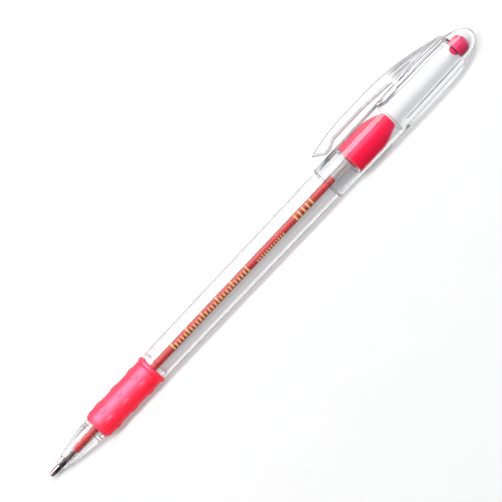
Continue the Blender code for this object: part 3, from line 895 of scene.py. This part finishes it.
def clip_stations(start, end, marks):
    """Even stations with every corner of the clip's lines among them."""
    even = steps(start, end, round((end - start) / CLIP_STEP))
    kept = [x for x in even if all(abs(x - mark) > CLIP_STEP / 3 for mark in marks)]
    return sorted({start, end, *kept, *(mark for mark in marks if start < mark < end)})


def clip_arm():
    """The springy arm, from its beak to the hinge."""
    marks = [CLIP_PAD_FRONT, CLIP_PAD_REAR, CLIP_RAMP_END, CLIP_LAND, CLIP_LAND_REAR, CLIP_DIP_START]
    line = clip_stations(CLIP_TIP, HINGE - CLIP_SEAM, marks)
    return lofted([clip_section(x, clip_under(x), clip_top(x)) for x in line])


def clip_root():
    """Starts with the arm's own end, then reaches down into the cap's wall."""
    crown = ROOT_REAR - ROOT_ROUND
    straight = clip_stations(HINGE, crown, [])
    heel = [crown + ROOT_ROUND * math.sin(turn) for turn in steps(0, math.pi / 2, CURVE_STEPS)][1:-1]
    meeting = clip_section(HINGE, clip_under(HINGE), clip_top(HINGE))
    deep = [x + SLOT_END if x == HINGE else x for x in straight + heel]
    spreads = [ROOT_FLARE * min(1, (x - HINGE) / FLARE_LENGTH) for x in deep]
    return lofted([meeting] + [clip_section(x, ROOT_DEPTH - CLIP_EDGE, clip_top(x), spread)
                               for x, spread in zip(deep, spreads)])


def clip_painted_shade(x, y, z):
    """How much painted shade the clip gets: grey on its rounded edges, darker low on its arm, and in
    streaks down its root.
    """
    off_side = CLIP_HALF_WIDTH - abs(z)
    off_top, off_under = clip_top(x) - y, y - clip_under(x)
    for off_edge, radius in ((off_under, CLIP_LOW_EDGE), (off_top, CLIP_EDGE)):
        if max(off_edge, off_side) < radius:
            return math.sin(2 * math.atan2(radius - off_edge, radius - off_side))
    if x < HINGE:
        return max(0, 1 - off_under / LOW_PAINTED_SHADE_HEIGHT) * min(1, (HINGE - x) / LOW_PAINTED_SHADE_FADE)
    if off_side > 0:
        return 0
    share = (off_top - CLIP_EDGE) / (clip_top(x) - 2 * CLIP_EDGE - ROOT_DEPTH)
    streak = min(len(ROOT_SHADE_STREAKS) - 1, max(0, round(share * SIDE_STEPS) - 1))
    return ROOT_SHADE_STREAKS[streak] * min(1, (x - HINGE) / SHADE_STREAK_LENGTH)


def painted_shade_marked(mesh):
    """Marks the painted shade that greys the cap's mouth and the clip's beak, edges and root."""
    marks = mesh.attributes.new(PAINTED_SHADE, "FLOAT", "POINT")
    for vertex, mark in zip(mesh.vertices, marks.data):
        x, y, z = vertex.co
        if x < CAP_MOUTH + MOUTH_PAINTED_SHADE:
            mark.value = 1
        elif x < CLIP_TIP + BEAK_PAINTED_SHADE and y > CLIP_PAD:
            mark.value = 1 - (x - CLIP_TIP) / BEAK_PAINTED_SHADE
        elif y > cap_radius(x):
            mark.value = clip_painted_shade(x, y, z)
    return mesh


def joined(base, added):
    """One mesh around both."""
    holder = bpy.data.objects.new("holder", base)
    helper = bpy.data.objects.new("helper", added)
    for made in (holder, helper):
        bpy.context.scene.collection.objects.link(made)
    union = holder.modifiers.new("union", "BOOLEAN")
    union.operation = "UNION"
    union.object = helper
    bpy.context.view_layer.update()
    graph = bpy.context.evaluated_depsgraph_get()
    mesh = bpy.data.meshes.new_from_object(holder.evaluated_get(graph))
    for made in (holder, helper):
        bpy.data.objects.remove(made)
    work = bmesh.new()
    work.from_mesh(mesh)
    bmesh.ops.remove_doubles(work, verts=work.verts, dist=JOINED_MERGE)
    return finished(work)


# Pieces on the pen's bodies
stands_for(piece("ball", writing_ball(), ball_metal), "writing_ball", "ball")
for name, mesh, finish, node, slot in (
    ("point", point_body(), point_metal, "point_body", "point_metal"),
    ("tube", marked(refill_tube()), milky, "refill_tube", "tube_plastic"),
    ("ink", ink_column(), ink, "ink_column", "red_ink"),
    ("nose", marked(nose_cone()), clear_body, "nose_cone", "clear_plastic"),
    ("body", marked(barrel()), clear_body, "barrel", "clear_plastic"),
    ("grip", grip_sleeve(), rubber, "grip_sleeve", "pink_rubber"),
    ("rear_plug", end_plug(), pink, "end_plug", "pink_plastic"),
):
    stands_for(piece(name, mesh, finish), node, "pen")
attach(piece("foil_ticks", foil_marks(), gold_foil()), "pen")
stands_for(piece("cap_insert", cap_end_plug(), insert_pink), "cap_end_plug", "cap_plug")
cap = piece("cap", marked(painted_shade_marked(joined(cap_tube(), clip_root())), PLUG_FRONT), clear_cap)
stands_for(cap, "cap_shell", "cap")
arm = piece("clip", marked(painted_shade_marked(clip_arm())), clear_cap)
for made, station in ((cap, HINGE), (arm, HINGE - CLIP_SEAM)):
    made.data.materials.append(seam)
    for face in made.data.polygons:
        if abs((PEN.inverted() @ face.center).x - station) < CLIP_SEAM / 4:
            face.material_index = 1
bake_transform(arm)
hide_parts("pocket_clip")

# Floor
FLOOR_SIZE = 3.0
FLOOR_WHITE = 0.8
FLOOR_GRAIN = 0.01
FLOOR_LIFT = 0.2


def floor_paper():
    """White paper, a little lighter where it is looked at than where it only lights the pen."""
    paint = Paint("floor_paper", Roughness=0.9, Specular_IOR_Level=0.0, Emission_Color=(*WHITE, 1))
    paint.tint(paint.noise(40), (FLOOR_WHITE,) * 3, (FLOOR_WHITE + FLOOR_GRAIN,) * 3)
    seen = paint.looking(paint.node("ShaderNodeLightPath"))
    paint.link(paint.math("MULTIPLY", seen, FLOOR_LIFT), paint.shader.inputs["Emission Strength"])
    return paint.made


reach = FLOOR_SIZE / 2
corners = [(-reach, -reach, 0), (reach, -reach, 0), (reach, reach, 0), (-reach, reach, 0)]
floor_mesh = bpy.data.meshes.new("floor")
floor_mesh.from_pydata(corners, [], [(0, 1, 2, 3)])
floor = bpy.data.objects.new("floor", floor_mesh)
bpy.context.scene.collection.objects.link(floor)
floor_mesh.materials.append(floor_paper())

# Room: even light, and what glass and metal see, white on the clip's side and past both ends
ROOM_COLOUR = (0.96, 0.98, 1, 1)
ROOM_LIGHT = 0.25
BRIGHT_SIDE = Vector((0, 1, 0))
ROOM_DARK = 0.06
ROOM_WHITE = 0.35
DARK_FROM = 0.2
WHITE_FROM = 0.7
ROOM_ENDS = 0.6
ENDS_FROM = 0.3
ENDS_FULL = 0.75
HALF_A_BOUNCE = 0.5


def room():
    """Rays that look see the shaded room, until they have met a surface that scatters them."""
    made = bpy.data.worlds.new("room")
    made.use_nodes = True
    air = Nodes(made.node_tree)
    direction = air.node("ShaderNodeTexCoord").outputs["Generated"]
    facing = air.node("ShaderNodeVectorMath", operation="DOT_PRODUCT")
    facing.inputs[1].default_value = BRIGHT_SIDE
    air.link(direction, facing.inputs[0])
    side = air.spread(facing.outputs["Value"], DARK_FROM, WHITE_FROM, ROOM_DARK, ROOM_WHITE)
    split = air.node("ShaderNodeSeparateXYZ")
    air.link(direction, split.inputs["Vector"])
    endways = air.math("ABSOLUTE", split.outputs["X"])
    ends = air.spread(endways, ENDS_FROM, ENDS_FULL, ROOM_DARK, ROOM_ENDS)
    ray = air.node("ShaderNodeLightPath")
    unscattered = air.math("LESS_THAN", ray.outputs["Diffuse Depth"], HALF_A_BOUNCE)
    level = air.node("ShaderNodeMix")
    level.inputs["A"].default_value = ROOM_LIGHT
    air.link(air.math("MAXIMUM", side, ends), level.inputs["B"])
    air.link(air.math("MULTIPLY", air.looking(ray), unscattered), level.inputs["Factor"])
    background = made.node_tree.nodes["Background"]
    background.inputs["Color"].default_value = ROOM_COLOUR
    air.link(level.outputs["Result"], background.inputs["Strength"])
    return made


scene = bpy.context.scene
scene.world = room()

# Key: a soft box high on the clip's side, with the power that lights the floor as a room of KEY_LIGHT would
KEY_FROM = Vector((-0.05, 0.537, 0.843)).normalized()
KEY_DISTANCE = 1.6
KEY_SIZE = (0.8, 0.14)
KEY_LIGHT = 0.8
KEY_POWER = KEY_LIGHT * math.pi ** 2 * KEY_DISTANCE ** 2 / KEY_FROM.z
# Strip: a long low box on the clip's side, whose reflection runs along the pen, and the light that it sheds
STRIP_SIZE = (1.2, 0.32)
STRIP_PLACE = Vector((0, 0.5, 0.18))
STRIP_FACING = Vector((0, -1, 0))
STRIP_GLOSS = 7.0
STRIP_SHED = 3.4
# Haze: a broad box above it, for the bloom on the pink pieces
HAZE_SIZE = (1.2, 0.8)
HAZE_PLACE = Vector((0, 0.55, 0.3))
HAZE_GLOSS = 7.5
HAZED = ("grip", "rear_plug", "cap_insert")


def glowing(brightness, size):
    """The power of a box that looks as bright as a room of that strength."""
    return brightness * math.pi * size[0] * size[1]


def soft_box(name, size, place, facing, power, unseen_by):
    """A rectangular lamp that some kinds of rays don't meet."""
    lamp = bpy.data.lights.new(name, "AREA")
    lamp.shape = "RECTANGLE"
    lamp.size, lamp.size_y = size
    lamp.energy = power
    made = bpy.data.objects.new(name, lamp)
    made.location = place
    made.rotation_mode = "QUATERNION"
    made.rotation_quaternion = facing.to_track_quat("-Z", "Y")
    for kind in unseen_by:
        setattr(made, "visible_" + kind, False)
    scene.collection.objects.link(made)
    return made


def shines_on(lamp, name, lit):
    """Keeps a lamp's light to some objects."""
    group = bpy.data.collections.new(name)
    for made in lit:
        group.objects.link(made)
    lamp.light_linking.receiver_collection = group


soft_box("key", KEY_SIZE, KEY_FROM * KEY_DISTANCE, -KEY_FROM, KEY_POWER, ("glossy", "transmission"))
soft_box("strip", STRIP_SIZE, STRIP_PLACE, STRIP_FACING, glowing(STRIP_GLOSS, STRIP_SIZE),
         ("diffuse", "transmission"))
shed = soft_box("shed", STRIP_SIZE, STRIP_PLACE, STRIP_FACING, glowing(STRIP_SHED, STRIP_SIZE),
                ("glossy", "transmission"))
haze = soft_box("haze", HAZE_SIZE, HAZE_PLACE, -HAZE_PLACE, glowing(HAZE_GLOSS, HAZE_SIZE),
                ("diffuse", "transmission"))
shines_on(haze, "pink_pieces", [bpy.data.objects[name] for name in HAZED])
shines_on(shed, "pen_pieces", [made for made in scene.objects if made.type == "MESH" and made is not floor])

# Camera: square on to the pen's side, turned so that the pen rises to the right
FRAME_WIDTH = 134.95 * MM
LENS = 200
SENSOR = 36
NEAREST = 0.01
PICTURE_TURN = math.radians(46.543)
LOOK_ALONG = 80.97 * MM
LOOK_ACROSS = 2.5 * MM
look_at = PEN @ Vector((LOOK_ALONG, LOOK_ACROSS, 0))
right = ALONG * math.cos(PICTURE_TURN) - TOWARDS_CLIP * math.sin(PICTURE_TURN)
up = ALONG * math.sin(PICTURE_TURN) + TOWARDS_CLIP * math.cos(PICTURE_TURN)
camera_data = bpy.data.cameras.new("camera")
camera_data.lens = LENS
camera_data.sensor_width = SENSOR
camera_data.clip_start = NEAREST
camera = bpy.data.objects.new("camera", camera_data)
scene.collection.objects.link(camera)
place = Matrix((right, up, TOWARDS_VIEWER)).transposed().to_4x4()
place.translation = look_at + TOWARDS_VIEWER * FRAME_WIDTH * LENS / SENSOR
camera.matrix_world = place
scene.camera = camera
scene.view_settings.view_transform = "Standard"
